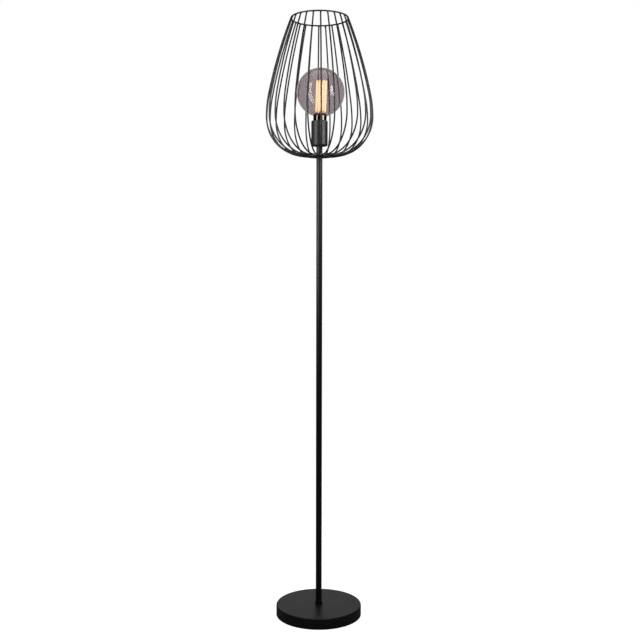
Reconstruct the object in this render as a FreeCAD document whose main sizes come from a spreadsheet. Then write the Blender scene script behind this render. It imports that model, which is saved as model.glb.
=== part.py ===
import FreeCAD, Part
import Sketcher
import math
import os
from types import SimpleNamespace

# Wire cage floor lamp. Millimetres, +Z up, origin at the middle of the base on the floor.
# The viewer looks along +Y, and the mains inlet is at the back, on +Y.

DRIVING_SIZES = [
    # base
    ("base_diameter", 227.0, "outside of the base cover"),
    ("base_height", 28.5, "floor to the base's top face"),
    ("shell_wall", 1.5, "sheet of the base cover"),
    ("shell_round", 3.0, "rounded top edge of the base cover"),
    ("rim_lift", 0.8, "gap under the cover's rim"),
    ("pad_thickness", 3.0, "foam pad under the base"),
    ("pad_inset", 4.0, "pad's edge inside the cover's wall"),
    ("weight_gap", 0.3, "casting clear of the cover's wall"),
    ("pocket_diameter", 76.0, "recess under the casting for nut and wiring"),
    ("pocket_depth", 15.0, "depth of that recess and of the slot"),
    ("slot_width", 18.0, "slot from the recess to the inlet"),
    ("inlet_height", 10.5, "centre of the mains inlet above the floor"),
    ("inlet_bore", 7.0, "hole through the inlet grommet"),
    ("grommet_wall", 2.0, "rubber between bore and cover"),
    ("grommet_lip", 1.7, "how far each lip stands out round the hole"),
    ("lip_thickness", 1.5, "thickness of each grommet lip"),
    # threaded tubes and what clamps on them
    ("nipple_diameter", 10.0, "threaded tubes that join the stack"),
    ("nipple_bore", 7.4, "wire way through the threaded tubes"),
    ("nipple_reach", 10.0, "how deep a threaded tube enters an insert"),
    ("nipple_end", 1.0, "threaded tube showing below its nut"),
    ("thread_play", 0.05, "radial play of a tapped hole on its thread"),
    ("washer_diameter", 32.0, "washer under the casting"),
    ("washer_thickness", 1.5, "washer under the casting"),
    ("nut_flats", 17.0, "across the flats of the base nut"),
    ("nut_thickness", 5.0, "base nut"),
    # pole
    ("pole_diameter", 16.0, "outside of the pole and the neck"),
    ("pole_wall", 1.2, "wall of the pole and the neck"),
    ("section_length", 396.0, "each of the pole's three lengths"),
    ("insert_length", 12.0, "tapped plug in each end of a length"),
    ("seam_break", 0.3, "chamfer on the tube's ends"),
    ("foot_collar_diameter", 19.5, "ring round the pole's foot"),
    ("foot_collar_height", 7.0, "ring round the pole's foot"),
    ("foot_collar_round", 0.8, "its top edge"),
    ("foot_collar_play", 0.1, "radial play round the pole"),
    # cage
    ("wire_diameter", 4.0, "wire of ribs and ring"),
    ("rib_count", 26, "ribs round the cage"),
    ("ring_radius", 74.0, "axis to the middle of the ring's wire"),
    ("cage_height", 352.0, "middle of a rib's foot to the middle of the ring"),
    ("belly_radius", 138.5, "axis to the middle of a rib at its widest"),
    ("bowl_bend", 97.8, "bend radius below the widest point"),
    ("waist_bend", 285.5, "bend radius above the widest point"),
    ("shoulder_bend", 1185.0, "slight bend of the long upper stretch"),
    ("rib_foot_radius", 28.0, "axis to the inner end of a rib"),
    ("weld_sink", 0.25, "how deep the welds press wire into plate"),
    ("weld_setback", 1.0, "rib's end short of the middle of the ring's wire"),
    ("hub_diameter", 70.0, "plate that carries the ribs"),
    ("hub_thickness", 2.0, "plate that carries the ribs"),
    # lampholder and its cover
    ("neck_length", 26.0, "tube between the hub plate and the holder's cover"),
    ("cover_diameter", 43.0, "cover round the lampholder"),
    ("cover_height", 65.0, "cover round the lampholder"),
    ("cover_wall", 1.2, "cover round the lampholder"),
    ("cover_round", 2.0, "bottom edge of the cover"),
    ("holder_play", 0.3, "radial gap between holder and cover"),
    ("holder_cap_height", 16.0, "lower half of the lampholder"),
    ("holder_height", 31.8, "upper half of the lampholder"),
    ("holder_wall", 2.4, "walls and floors of the lampholder"),
    ("holder_boss", 8.0, "radius of the tapped boss in the lower half"),
    ("holder_boss_height", 9.0, "how far that boss is tapped"),
    ("shell_ledge", 9.0, "floor of the upper half to the screw shell's ledge"),
    ("tongue_height", 3.3, "centre contact above the holder's floor"),
    ("tongue_sheet", 0.5, "sheet of the centre contact"),
    ("tongue_width", 6.0, "centre contact"),
    ("holder_screw_offset", 8.0, "axis to each of the holder's terminal screws"),
    ("screw_radius", 1.5, "shank of every terminal screw"),
    ("screw_head_radius", 2.8, "head of every terminal screw"),
    ("screw_head_height", 1.6, "head of every terminal screw"),
    ("screw_play", 0.05, "radial play of a terminal screw in its hole"),
    # screw cap and screw shell, with a rounded thread
    ("thread_pitch", 3.629, "rise of one turn"),
    ("thread_swing", 0.47, "half the depth of the rounded thread"),
    ("cap_mean_radius", 12.6, "bulb cap, halfway up the thread"),
    ("cap_clearance", 0.2, "radial gap between cap and screw shell"),
    ("contact_sheet", 0.35, "sheet of the bulb cap and of the screw shell"),
    ("screw_shell_length", 20.0, "threaded sleeve in the holder"),
    ("cap_length", 21.6, "threaded sleeve on the bulb"),
    # bulb
    ("globe_diameter", 125.0, "glass globe"),
    ("bulb_length", 178.0, "end contact to the top of the globe"),
    ("bulb_gap", 0.2, "end contact above the centre contact"),
    ("glass_wall", 1.0, "wall of the globe and its neck"),
    ("collar_diameter", 35.0, "metal collar between globe and cap"),
    ("collar_wall", 1.0, "metal collar between globe and cap"),
    ("collar_taper", 5.0, "height of the collar's sloping foot"),
    ("collar_foot_radius", 15.4, "collar's outside at its foot"),
    ("collar_floor", 1.6, "collar's floor round the cap"),
    ("collar_glue", 0.1, "cement round the glass neck"),
    ("neck_clearance", 1.0, "glass neck's foot above the collar's slope"),
    ("end_contact_radius", 5.0, "end contact of the bulb"),
    ("end_contact_height", 1.5, "end contact of the bulb"),
    ("end_contact_play", 0.05, "end contact clear of the black insulator"),
    ("insulator_height", 4.5, "black insulator of the bulb cap"),
    ("insulator_lip", 1.3, "insulator's height inside the cap"),
    ("insulator_play", 0.1, "insulator clear of the cap's inner thread"),
    ("stem_flare_height", 22.0, "flared foot of the glass stem"),
    ("stem_base_radius", 5.0, "thick foot of the glass stem"),
    ("stem_rod_radius", 2.2, "rod of the glass stem"),
    ("stem_height", 116.0, "whole glass stem"),
    ("filament_count", 8, "filaments round the stem"),
    ("filament_circle", 13.0, "axis to the middle of a filament"),
    ("filament_radius", 2.3, "each filament"),
    ("filament_length", 85.5, "each filament"),
    ("carrier_wire_radius", 0.5, "wire that carries the filaments"),
    ("carrier_height", 27.8, "lower carrier above the stem's foot"),
    ("board_drop", 4.0, "driver board's top below the screw cap's upper end"),
    ("board_play", 0.1, "driver board clear of the screw cap's inner thread"),
    ("board_thickness", 1.2, "driver board"),
    ("capacitor_radius", 4.0, "smoothing capacitor on the driver board"),
    ("capacitor_height", 9.0, "smoothing capacitor on the driver board"),
    # wiring held inside the lamp
    ("lead_diameter", 6.0, "sheathed lead in the pole"),
    ("core_radius", 1.0, "each insulated core"),
    ("core_spacing", 2.6, "middle to middle of the two cores in the sheath"),
    ("core_bend", 3.0, "bend radius of a core"),
    ("sheath_overhang", 0.5, "sheath showing below the base's threaded tube"),
    ("sheath_rise", 8.0, "sheath's end above the floor of the holder's cover"),
    ("core_drop", 3.5, "straight of a core before its first bend"),
    ("block_length", 18.0, "terminal block across the base"),
    ("block_depth", 14.0, "terminal block from front to back"),
    ("block_height", 11.0, "terminal block"),
    ("block_distance", 14.0, "axis to the front of the terminal block"),
    ("block_spacing", 8.0, "middle to middle of its two ways"),
    ("block_hole_radius", 1.2, "its wire holes"),
    ("core_entry", 8.0, "how far a core goes into the block"),
]

SEAM_TOLERANCE = 1e-6
FIRST_RIB = -90.0  # degrees from +X: the first rib is at the front

doc = FreeCAD.newDocument("wire_cage_floor_lamp")
sheet = doc.addObject("Spreadsheet::Sheet", "Sizes")
nodes = []


class Size:
    """A number together with the spreadsheet formula that gives it."""

    def __init__(self, value, formula):
        self.value = float(value)
        self.formula = formula

    def __float__(self):
        return self.value

    def __add__(self, other):
        other = as_size(other)
        return Size(self.value + other.value, "(%s + %s)" % (self.formula, other.formula))

    def __sub__(self, other):
        other = as_size(other)
        return Size(self.value - other.value, "(%s - %s)" % (self.formula, other.formula))

    def __mul__(self, other):
        other = as_size(other)
        return Size(self.value * other.value, "(%s * %s)" % (self.formula, other.formula))

    def __truediv__(self, other):
        other = as_size(other)
        return Size(self.value / other.value, "(%s / %s)" % (self.formula, other.formula))

    def __neg__(self):
        return Size(-self.value, "(-%s)" % self.formula)

    __radd__ = __add__
    __rmul__ = __mul__


def as_size(number):
    return number if isinstance(number, Size) else Size(number, "%r" % float(number))


def fill_sheet():
    for row, (alias, number, meaning) in enumerate(DRIVING_SIZES, start=1):
        sheet.set("A%d" % row, alias)
        sheet.set("B%d" % row, str(number))
        sheet.set("C%d" % row, meaning)
        sheet.setAlias("B%d" % row, alias)
    doc.recompute()
    return SimpleNamespace(
        **{alias: Size(getattr(sheet, alias), "Sizes." + alias) for alias, _, _ in DRIVING_SIZES}
    )


size = fill_sheet()

# radii that several pieces share
base_radius = size.base_diameter / 2
pole_radius = size.pole_diameter / 2
pole_bore_radius = pole_radius - size.pole_wall
nipple_radius = size.nipple_diameter / 2
tapped_radius = nipple_radius + size.thread_play
wire_radius = size.wire_diameter / 2
hub_radius = size.hub_diameter / 2
cover_inner_radius = size.cover_diameter / 2 - size.cover_wall
holder_radius = cover_inner_radius - size.holder_play
globe_radius = size.globe_diameter / 2
collar_radius = size.collar_diameter / 2
collar_bore_radius = collar_radius - size.collar_wall
glass_neck_radius = collar_bore_radius - size.collar_glue
glass_neck_bore = glass_neck_radius - size.glass_wall
cap_outer_radius = size.cap_mean_radius + size.thread_swing
cap_inner_radius = size.cap_mean_radius - size.contact_sheet - size.thread_swing
shell_mean_radius = size.cap_mean_radius + size.cap_clearance
shell_outer_radius = shell_mean_radius + size.contact_sheet + size.thread_swing
tapped_screw_radius = size.screw_radius + size.screw_play

# heights, from the floor up
weight_top = size.base_height - size.shell_wall
pocket_roof = size.pad_thickness + size.pocket_depth
nut_top = pocket_roof - size.washer_thickness
nut_bottom = nut_top - size.nut_thickness
base_nipple_bottom = nut_bottom - size.nipple_end
sheath_bottom = base_nipple_bottom - size.sheath_overhang
pole_sections = ("lower_pole", "middle_pole", "upper_pole")
pole_foot = size.base_height
pole_top = pole_foot + len(pole_sections) * size.section_length
hub_top = pole_top + size.hub_thickness
rib_level = hub_top + wire_radius - size.weld_sink
ring_level = rib_level + size.cage_height
cover_bottom = hub_top + size.neck_length
cover_floor = cover_bottom + size.cover_wall
holder_joint = cover_floor + size.holder_cap_height
holder_floor = holder_joint + size.holder_wall
shell_bottom = holder_floor + size.shell_ledge
bulb_tip = holder_floor + size.tongue_height + size.bulb_gap
insulator_bottom = bulb_tip + size.end_contact_height + size.end_contact_play
cap_bottom = insulator_bottom + size.insulator_height
collar_foot = cap_bottom + size.cap_length - size.collar_floor
globe_centre = bulb_tip + size.bulb_length - globe_radius
glass_shoulder = globe_centre - math.sqrt(float(globe_radius) ** 2 - float(collar_radius) ** 2)
glass_foot = collar_foot + size.collar_floor + size.collar_taper + size.neck_clearance
sheath_top = cover_floor + size.sheath_rise


# ---------------------------------------------------------------- helpers

def vector(x, y, z):
    return FreeCAD.Vector(float(x), float(y), float(z))


def bind(thing, **places):
    """Set properties of an object to sizes of the sheet, such as Height or Placement_Base_z."""
    for place, number in places.items():
        thing.setExpression(place.replace("_", "."), as_size(number).formula)


def node(thing, label):
    thing.Label = label
    nodes.append(thing)
    return thing


def primitive(kind, name, sizes, lift=0.0):
    thing = doc.addObject(kind, name)
    bind(thing, Placement_Base_z=lift, **sizes)
    return thing


def cylinder(name, radius, height, lift=0.0):
    return primitive("Part::Cylinder", name, {"Radius": radius, "Height": height}, lift)


def cut(name, base, tools):
    tool = tools[0]
    if len(tools) > 1:
        tool = doc.addObject("Part::MultiFuse", name + "_tools")
        tool.Shapes = tools
    thing = doc.addObject("Part::Cut", name)
    thing.Base = base
    thing.Tool = tool
    return thing


def fuse(name, pieces):
    thing = doc.addObject("Part::MultiFuse", name)
    thing.Shapes = pieces
    return thing


def body(name, lift=0.0):
    thing = doc.addObject("PartDesign::Body", name)
    bind(thing, Placement_Base_z=lift)
    return thing


def sketch_on(holder, role, name):
    sketch = holder.newObject("Sketcher::SketchObject", name)
    plane = next(item for item in holder.Origin.OriginFeatures if item.Role == role)
    sketch.AttachmentSupport = [(plane, "")]
    sketch.MapMode = "FlatFace"
    return sketch


def pin(sketch, geometry, point, x, y):
    """Hold a sketch point at x, y, measured from the sketch's origin."""
    for kind, axis, number in (("DistanceX", -2, as_size(x)), ("DistanceY", -1, as_size(y))):
        if number.value == 0.0:
            sketch.addConstraint(Sketcher.Constraint("PointOnObject", geometry, point, axis))
        else:
            index = sketch.addConstraint(
                Sketcher.Constraint(kind, -1, 1, geometry, point, number.value)
            )
            sketch.setExpression("Constraints[%d]" % index, number.formula)


def set_radius(sketch, geometry, number):
    index = sketch.addConstraint(Sketcher.Constraint("Radius", geometry, float(number)))
    sketch.setExpression("Constraints[%d]" % index, as_size(number).formula)


def draw_outline(sketch, corners):
    """Straight lines from corner to corner and back to the first, each corner pinned."""
    first = sketch.GeometryCount
    count = len(corners)
    for n in range(count):
        start = corners[n]
        end = corners[(n + 1) % count]
        sketch.addGeometry(Part.LineSegment(vector(*start, 0), vector(*end, 0)), False)
    for n in range(count):
        following = first + (n + 1) % count
        sketch.addConstraint(Sketcher.Constraint("Coincident", first + n, 2, following, 1))
        pin(sketch, first + n, 1, *corners[n])


def draw_circle(sketch, x, y, radius):
    circle = sketch.addGeometry(Part.Circle(vector(x, y, 0), vector(0, 0, 1), float(radius)), False)
    pin(sketch, circle, 3, x, y)
    set_radius(sketch, circle, radius)


def turn(holder, sketch, kind="PartDesign::Revolution"):
    feature = holder.newObject(kind, sketch.Name + "_turn")
    feature.Profile = sketch
    feature.ReferenceAxis = (sketch, ["V_Axis"])
    feature.Angle = 360.0
    return feature


def turned(label, corners, lift=0.0):
    """A body of revolution about the lamp's axis. Corners are (radius, height above lift)."""
    holder = body(label, lift)
    sketch = sketch_on(holder, "XZ_Plane", label + "_outline")
    draw_outline(sketch, corners)
    turn(holder, sketch)
    return holder


def round_edges(holder, radius, circles):
    """Round the circular edges that have these (radius, height above the body's origin)."""
    doc.recompute()
    base = holder.Tip
    picked = []
    for number, edge in enumerate(base.Shape.Edges, start=1):
        if not isinstance(edge.Curve, Part.Circle):
            continue
        for ring, height in circles:
            same_ring = abs(edge.Curve.Radius - float(ring)) < 1e-4
            if same_ring and abs(edge.Curve.Center.z - float(height)) < 1e-4:
                picked.append("Edge%d" % number)
    fillet = holder.newObject("PartDesign::Fillet", holder.Name + "_round_%d" % len(holder.Group))
    fillet.Base = (base, picked)
    bind(fillet, Radius=radius)


def tube(label, outer, inner, height, lift=0.0):
    return turned(label, [(inner, 0), (outer, 0), (outer, height), (inner, height)], lift)


def group(label, shapes):
    """Several separate solids in one node."""
    thing = doc.addObject("Part::Feature", label)
    thing.Shape = Part.makeCompound(shapes)
    thing.Placement = FreeCAD.Placement()
    return node(thing, label)


# ---------------------------------------------------------------- base

def foot_pad():
    radius = base_radius - size.shell_wall - size.pad_inset
    node(cylinder("foot_pad", radius, size.pad_thickness), "foot_pad")


def base_cover():
    inner = base_radius - size.shell_wall
    shell = turned("base_shell", [
        (tapped_radius, size.base_height),
        (tapped_radius, weight_top),
        (inner, weight_top),
        (inner, size.rim_lift),
        (base_radius, size.rim_lift),
        (base_radius, size.base_height),
    ])
    round_edges(shell, size.shell_round, [(base_radius, size.base_height)])
    round_edges(shell, size.shell_round - size.shell_wall, [(inner, weight_top)])
    hole = inlet_cylinder("inlet_hole", size.inlet_bore / 2 + size.grommet_wall)
    return node(cut("base_cover", shell, [hole]), "base_cover")


def inlet_cylinder(name, radius):
    """A cylinder along the inlet's axis, from inside the casting's slot to outside the cover."""
    start = base_radius - size.shell_wall - size.lip_thickness
    length = size.shell_wall + 2 * size.lip_thickness
    thing = doc.addObject("Part::Cylinder", name)
    thing.Placement = FreeCAD.Placement(vector(0, 0, 0), FreeCAD.Rotation(vector(1, 0, 0), -90))
    bind(thing, Radius=radius, Height=length)
    bind(thing, Placement_Base_y=start, Placement_Base_z=size.inlet_height)
    return thing


def cord_grommet(cover):
    neck = size.inlet_bore / 2 + size.grommet_wall
    blank = inlet_cylinder("grommet_blank", neck + size.grommet_lip)
    bore = inlet_cylinder("grommet_bore", size.inlet_bore / 2)
    bored = cut("grommet_bored", blank, [bore])
    node(cut("cord_grommet", bored, [cover]), "cord_grommet")


def base_weight():
    edge = base_radius - size.shell_wall - size.weight_gap
    casting = turned("weight_casting", [
        (tapped_radius, weight_top),
        (tapped_radius, pocket_roof),
        (size.pocket_diameter / 2, pocket_roof),
        (size.pocket_diameter / 2, size.pad_thickness),
        (edge, size.pad_thickness),
        (edge, weight_top),
    ])
    round_edges(casting, size.shell_round, [(edge, weight_top)])
    slot = doc.addObject("Part::Box", "weight_slot")
    bind(slot, Length=size.slot_width, Width=base_radius, Height=size.pocket_depth)
    bind(slot, Placement_Base_x=-(size.slot_width / 2), Placement_Base_z=size.pad_thickness)
    node(cut("base_weight", casting, [slot]), "base_weight")


def base_fixings():
    length = pole_foot + size.nipple_reach - base_nipple_bottom
    node(tube("base_nipple", nipple_radius, size.nipple_bore / 2, length, base_nipple_bottom),
         "base_nipple")
    washer = tube("base_washer", size.washer_diameter / 2, tapped_radius, size.washer_thickness,
                  nut_top)
    hexagon = primitive("Part::Prism", "nut_hexagon", {
        "Circumradius": size.nut_flats / math.sqrt(3.0),
        "Height": size.nut_thickness,
    }, nut_bottom)
    hexagon.Polygon = 6
    hole = cylinder("nut_hole", tapped_radius, size.nut_thickness, nut_bottom)
    clamp = doc.addObject("Part::Compound", "base_clamp")
    clamp.Links = [washer, cut("base_nut", hexagon, [hole])]
    node(clamp, "base_clamp")


def foot_collar():
    outer = size.foot_collar_diameter / 2
    collar = tube("foot_collar", outer, pole_radius + size.foot_collar_play,
                  size.foot_collar_height, pole_foot)
    round_edges(collar, size.foot_collar_round, [(outer, size.foot_collar_height)])
    node(collar, "foot_collar")


# ---------------------------------------------------------------- pole

def pole_section(label, number):
    """A tube with a slight chamfer at both ends, so that the seams read as hairlines."""
    edge = pole_radius - size.seam_break
    top = size.section_length
    node(turned(label, [
        (pole_bore_radius, 0),
        (edge, 0),
        (pole_radius, size.seam_break),
        (pole_radius, top - size.seam_break),
        (edge, top),
        (pole_bore_radius, top),
    ], pole_foot + number * size.section_length), label)


def hollow_bar(outer, inner, bottom, height):
    bar = Part.makeCylinder(float(outer), float(height), vector(0, 0, bottom))
    return bar.cut(Part.makeCylinder(float(inner), float(height), vector(0, 0, bottom)))


def pole_joints():
    """Tapped plugs in both ends of each length, and the threaded tubes that join the lengths."""
    plugs = []
    for number in range(len(pole_sections)):
        foot = pole_foot + number * size.section_length
        head = foot + size.section_length - size.insert_length
        for bottom in (foot, head):
            plugs.append(hollow_bar(pole_bore_radius, tapped_radius, bottom, size.insert_length))
    group("pole_inserts", plugs)
    joiners = []
    for number in range(1, len(pole_sections)):
        seam = pole_foot + number * size.section_length
        joiners.append(hollow_bar(nipple_radius, size.nipple_bore / 2,
                                  seam - size.nipple_reach, 2 * size.nipple_reach))
    group("pole_nipples", joiners)


# ---------------------------------------------------------------- cage

def rib_path(holder):
    """Three tangent arcs and a straight foot, in the plane of the rib.

    The bowl arc runs from the flat foot up to the widest point, the waist arc and the long
    shoulder arc go on from there to the ring.
    """
    sketch = sketch_on(holder, "XZ_Plane", holder.Name + "_path")
    belly = vector(size.belly_radius, size.bowl_bend, 0)
    ring = vector(size.ring_radius, size.cage_height, 0)
    waist_centre = belly - vector(size.waist_bend, 0, 0)
    bowl_centre = belly - vector(size.bowl_bend, 0, 0)
    shoulder_centre = inner_tangent_centre(waist_centre, float(size.waist_bend),
                                           float(size.shoulder_bend), ring)
    meeting = angle_of(waist_centre - shoulder_centre)
    setback = 2 * math.asin(float(size.weld_setback) / float(size.shoulder_bend) / 2)
    top = angle_of(ring - shoulder_centre) - setback
    shoulder = draw_arc(sketch, shoulder_centre, size.shoulder_bend, meeting, top)
    waist = draw_arc(sketch, waist_centre, size.waist_bend, 0.0, meeting)
    bowl = draw_arc(sketch, bowl_centre, size.bowl_bend, -math.pi / 2, 0.0)
    foot = sketch.addGeometry(
        Part.LineSegment(vector(bowl_centre.x, 0, 0), vector(size.rib_foot_radius, 0, 0)), False)
    weld = sketch.addGeometry(Part.Point(ring), True)
    sketch.addConstraint(Sketcher.Constraint("Tangent", bowl, 1, foot, 1))
    sketch.addConstraint(Sketcher.Constraint("Tangent", waist, 1, bowl, 2))
    sketch.addConstraint(Sketcher.Constraint("Tangent", shoulder, 1, waist, 2))
    sketch.addConstraint(Sketcher.Constraint("PointOnObject", foot, 1, -1))
    pin(sketch, foot, 2, size.rib_foot_radius, 0)
    pin(sketch, bowl, 2, size.belly_radius, size.bowl_bend)
    pin(sketch, weld, 1, size.ring_radius, size.cage_height)
    sketch.addConstraint(Sketcher.Constraint("PointOnObject", weld, 1, shoulder))
    gap = sketch.addConstraint(
        Sketcher.Constraint("Distance", weld, 1, shoulder, 2, float(size.weld_setback)))
    sketch.setExpression("Constraints[%d]" % gap, size.weld_setback.formula)
    return sketch


def inner_tangent_centre(small_centre, small_radius, large_radius, point):
    """Centre of the large circle that passes through the point and holds the small circle."""
    span = point - small_centre
    reach = large_radius - small_radius
    along = (reach ** 2 - large_radius ** 2 + span.Length ** 2) / (2 * span.Length)
    across = math.sqrt(reach ** 2 - along ** 2)
    unit = span / span.Length
    sideways = vector(-unit.y, unit.x, 0)
    return small_centre + unit * along + sideways * across


def angle_of(arrow):
    return math.atan2(arrow.y, arrow.x)


def draw_arc(sketch, centre, radius, start, end):
    circle = Part.Circle(centre, vector(0, 0, 1), float(radius))
    index = sketch.addGeometry(Part.ArcOfCircle(circle, start, end), False)
    set_radius(sketch, index, radius)
    return index


def rib(number):
    """One wire of the cage, coped to the ring at the top and flattened on the hub plate."""
    label = "rib_%02d" % (number + 1)
    holder = body(label, rib_level)
    path = rib_path(holder)
    section = sketch_on(holder, "YZ_Plane", label + "_section")
    bind(section, AttachmentOffset_Base_z=size.rib_foot_radius)
    draw_circle(section, 0, 0, wire_radius)
    pipe = holder.newObject("PartDesign::AdditivePipe", label + "_wire")
    pipe.Profile = section
    pipe.Spine = path
    welds = sketch_on(holder, "XZ_Plane", label + "_welds")
    draw_circle(welds, size.ring_radius, size.cage_height, wire_radius)
    plate = -(wire_radius - size.weld_sink)
    draw_outline(welds, [(0, plate), (hub_radius, plate), (hub_radius, plate - wire_radius),
                         (0, plate - wire_radius)])
    turn(holder, welds, "PartDesign::Groove")
    turn_angle = FIRST_RIB + 360.0 * number / size.rib_count.value
    holder.Placement.Rotation = FreeCAD.Rotation(vector(0, 0, 1), turn_angle)
    return node(holder, label)


def top_ring():
    ring = primitive("Part::Torus", "top_ring",
                     {"Radius1": size.ring_radius, "Radius2": wire_radius}, ring_level)
    node(ring, "top_ring")


def hub_plate():
    node(tube("hub_plate", hub_radius, tapped_radius, size.hub_thickness, pole_top), "hub_plate")


# ---------------------------------------------------------------- neck, cover and lampholder

def neck():
    node(tube("neck_tube", pole_radius, pole_bore_radius, size.neck_length, hub_top), "neck_tube")
    bottom = pole_top - size.nipple_reach
    length = cover_floor + size.holder_boss_height - bottom
    node(tube("top_nipple", nipple_radius, size.nipple_bore / 2, length, bottom), "top_nipple")


def socket_cover():
    outer = size.cover_diameter / 2
    cover = turned("socket_cover", [
        (tapped_radius, 0),
        (outer, 0),
        (outer, size.cover_height),
        (cover_inner_radius, size.cover_height),
        (cover_inner_radius, size.cover_wall),
        (tapped_radius, size.cover_wall),
    ], cover_bottom)
    round_edges(cover, size.cover_round, [(outer, 0)])
    node(cover, "socket_cover")


def holder_cap():
    """Lower half of the lampholder: a cup with a tapped boss in its floor."""
    inner = holder_radius - size.holder_wall
    edge = size.cover_round
    cup = turned("holder_cap", [
        (tapped_radius, 0),
        (holder_radius - edge, 0),
        (holder_radius, edge),
        (holder_radius, size.holder_cap_height),
        (inner, size.holder_cap_height),
        (inner, size.holder_wall),
        (size.holder_boss, size.holder_wall),
        (size.holder_boss, size.holder_boss_height),
        (tapped_radius, size.holder_boss_height),
    ], cover_floor)
    node(cup, "holder_cap")


def holder_body():
    """Upper half of the lampholder: floor, ledge for the screw shell and a wide mouth."""
    inner = shell_outer_radius + size.holder_play
    ledge = size.holder_wall + size.shell_ledge
    block = turned("holder_block", [
        (0, 0),
        (holder_radius, 0),
        (holder_radius, size.holder_height),
        (inner, size.holder_height),
        (inner, ledge),
        (cap_inner_radius, ledge),
        (cap_inner_radius, size.holder_wall),
        (0, size.holder_wall),
    ], holder_joint)
    holes = []
    for number, side in enumerate((-1, 1)):
        hole = cylinder("holder_hole_%d" % number, tapped_screw_radius, size.holder_wall,
                        holder_joint)
        bind(hole, Placement_Base_x=side * size.holder_screw_offset)
        holes.append(hole)
    node(cut("holder_body", block, holes), "holder_body")


def centre_contact():
    """Springy tongue: foot on the holder's floor over one screw, raised pad under the bulb."""
    holder = body("centre_contact", holder_floor)
    sketch = sketch_on(holder, "XZ_Plane", "tongue_outline")
    top = size.tongue_height
    sheet_metal = size.tongue_sheet
    heel = -size.holder_screw_offset - size.screw_radius
    knee = -size.holder_screw_offset / 2
    draw_outline(sketch, [
        (heel, 0),
        (knee, 0),
        (-size.screw_radius, top - sheet_metal),
        (size.end_contact_radius, top - sheet_metal),
        (size.end_contact_radius, top),
        (-size.screw_radius - sheet_metal, top),
        (knee - sheet_metal, sheet_metal),
        (heel, sheet_metal),
    ])
    strip = holder.newObject("PartDesign::Pad", "tongue_strip")
    strip.Profile = sketch
    strip.Midplane = True
    bind(strip, Length=size.tongue_width)
    node(holder, "centre_contact")


def rounded_sleeve(label, inner, outer, length, bottom):
    """A sleeve of sheet pressed to a rounded screw thread.

    Each level cut is a circle, and its centre winds round the axis once per pitch, so the wall
    rises and falls by the swing. Sleeves made with one pitch fit each other at every height.
    """
    rise = float(length)
    swing = float(size.thread_swing)
    centre_line = Part.Wire(Part.makeHelix(float(size.thread_pitch), rise, swing).Edges)
    walls = []
    ends = {0.0: [], rise: []}
    for radius in (float(outer), float(inner)):
        sweep = Part.BRepOffsetAPI.MakePipeShell(centre_line)
        sweep.setTrihedronMode(vector(0, 0, 0), vector(0, 0, 1))
        sweep.add(Part.Wire([Part.makeCircle(radius, vector(swing, 0, 0))]), False, False)
        sweep.build()
        skin = sweep.shape()
        walls += skin.Faces
        for level in ends:
            rims = [edge for edge in skin.Edges if is_rim(edge, level)]
            ends[level].append(Part.Wire(rims))
    caps = [Part.Face(rims) for rims in ends.values()]
    shell = Part.Shell(walls + caps)
    shell.sewShape()
    solid = Part.Solid(shell)
    solid.fix(SEAM_TOLERANCE, SEAM_TOLERANCE, SEAM_TOLERANCE)
    thing = doc.addObject("Part::Feature", label)
    thing.Shape = solid
    spin = 360.0 * float(bottom) / float(size.thread_pitch)
    thing.Placement = FreeCAD.Placement(vector(0, 0, bottom),
                                        FreeCAD.Rotation(vector(0, 0, 1), spin))
    return node(thing, label)


def is_rim(edge, level):
    box = edge.BoundBox
    return abs(box.ZMin - level) < 1e-4 and abs(box.ZMax - level) < 1e-4


def screw_shell():
    rounded_sleeve("holder_screw_shell", shell_mean_radius,
                   shell_mean_radius + size.contact_sheet, size.screw_shell_length, shell_bottom)


# ---------------------------------------------------------------- bulb

def bulb_cap():
    rounded_sleeve("bulb_cap", size.cap_mean_radius - size.contact_sheet, size.cap_mean_radius,
                   size.cap_length, cap_bottom)


def cap_insulator():
    lip = cap_inner_radius - size.insulator_play
    top = size.insulator_height + size.insulator_lip
    node(turned("cap_insulator", [
        (0, 0),
        (size.end_contact_radius, 0),
        (lip, size.insulator_height),
        (lip, top),
        (0, top),
    ], insulator_bottom), "cap_insulator")


def bulb_end_contact():
    edge = size.end_contact_height / 2
    node(turned("bulb_end_contact", [
        (0, 0),
        (size.end_contact_radius - edge, 0),
        (size.end_contact_radius, edge),
        (size.end_contact_radius, size.end_contact_height),
        (0, size.end_contact_height),
    ], bulb_tip), "bulb_end_contact")


def bulb_collar():
    bore = cap_outer_radius + size.collar_glue
    height = glass_shoulder - collar_foot - size.collar_wall / 2
    floor = size.collar_floor
    node(turned("bulb_collar", [
        (bore, 0),
        (size.collar_foot_radius, 0),
        (collar_radius, size.collar_taper),
        (collar_radius, height),
        (collar_bore_radius, height),
        (collar_bore_radius, size.collar_taper + floor),
        (size.collar_foot_radius - size.collar_wall, floor),
        (bore, floor),
    ], collar_foot), "bulb_collar")


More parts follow.
